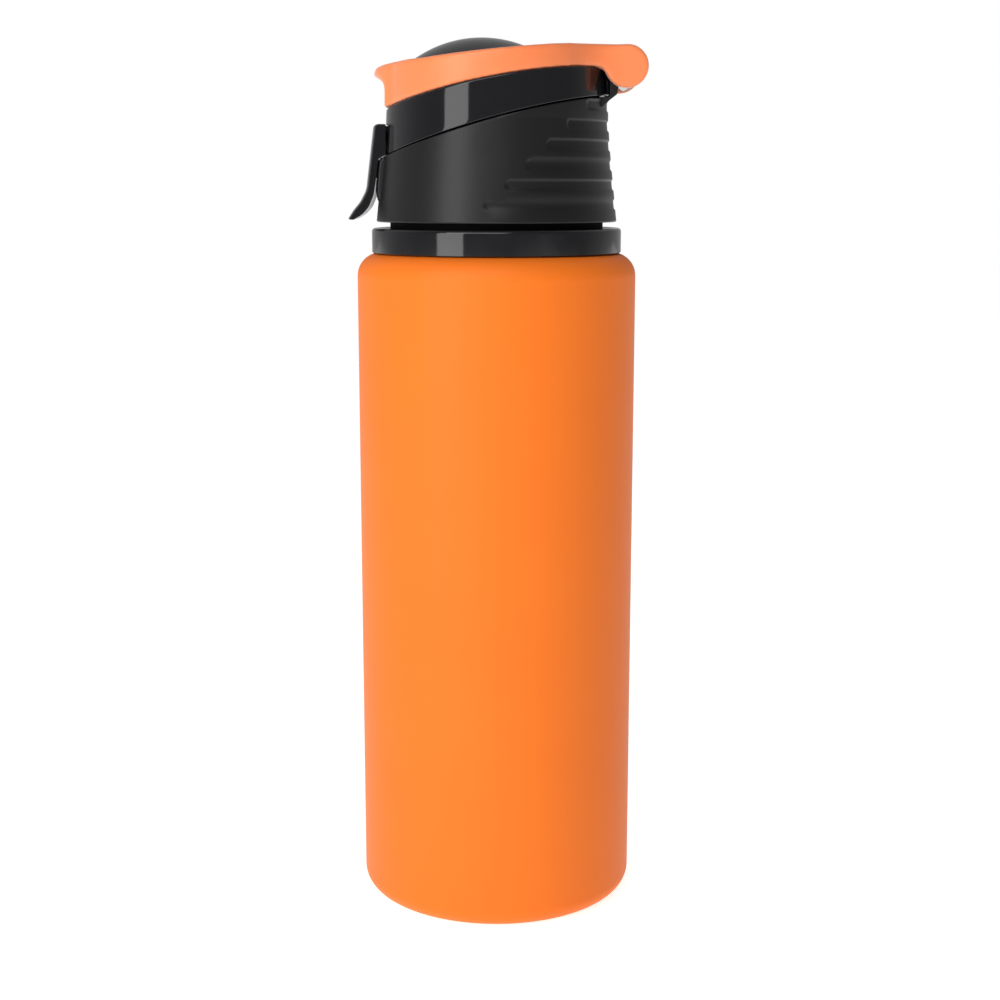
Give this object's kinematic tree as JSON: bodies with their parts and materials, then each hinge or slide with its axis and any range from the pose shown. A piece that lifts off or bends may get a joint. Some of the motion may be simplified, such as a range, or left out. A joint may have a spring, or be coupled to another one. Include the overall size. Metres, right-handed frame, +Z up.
{
  "type": "metal sports bottle",
  "caption": "Straight metal sports bottle with screw cap, flip-up lid over a spout, front latch lever and fold-up carry handle.",
  "frame": {"origin": "centre of the ring that the bottle stands on", "axes": "+Z up along the bottle's axis, -X towards the latch, +X towards the hinge, Y along the hinge pin"},
  "size_m": [0.077, 0.073, 0.2281],
  "materials": {
    "coated_aluminium": "matte orange soft-touch coat over drawn aluminium",
    "orange_grip": "soft satin orange moulding",
    "gloss_black": "polished black moulding",
    "satin_black": "fine satin black moulding",
    "silicone": "translucent food silicone",
    "black_rubber": "plain seal rubber",
    "grey_plastic": "plain grey moulding",
    "steel": "drawn stainless wire"
  },
  "bodies": {
    "bottle": {"bottle_shell": "coated_aluminium", "neck_collar": "gloss_black"},
    "gasket_carrier": {"cap_gasket": "silicone"},
    "cap": {"cap_core": "grey_plastic", "cap_housing": "satin_black", "spout": "silicone", "spout_seal_ring": "black_rubber", "vent_valve": "silicone", "hinge_pin": "steel"},
    "lid": {"lid_shell": "gloss_black", "lid_liner": "grey_plastic", "spout_plug": "silicone", "latch_pin": "steel", "latch_spring": "steel"},
    "latch": {"latch_lever": "gloss_black"},
    "handle": {"carry_handle": "orange_grip", "handle_bush_left": "grey_plastic", "handle_bush_right": "grey_plastic"}
  },
  "joints": [
    {"name": "cap_lift", "type": "slide", "parent": "bottle", "child": "gasket_carrier", "axis": [0, 0, 1], "range_m": [0, 0.00801]},
    {"name": "cap_unscrew", "type": "hinge", "parent": "gasket_carrier", "child": "cap", "pos_m": [0, 0, 0.188], "axis": [0, 0, 1], "range_deg": [0, 720]},
    {"name": "lid_open", "type": "hinge", "parent": "cap", "child": "lid", "pos_m": [0.0327, 0, 0.2202], "axis": [0, 1, 0], "range_deg": [0, 120]},
    {"name": "handle_lift", "type": "hinge", "parent": "lid", "child": "handle", "pos_m": [0.0327, 0, 0.2202], "axis": [0, 1, 0], "range_deg": [0, 100]},
    {"name": "latch_pull", "type": "hinge", "parent": "lid", "child": "latch", "pos_m": [-0.0302, 0, 0.20382], "axis": [0, 1, 0], "range_deg": [0, 20], "stiffness_Nm_per_rad": 0.02}
  ],
  "couplings": [
    {"joint": "cap_lift", "follows": "cap_unscrew", "m_per_rad": 0.00063662}
  ]
}
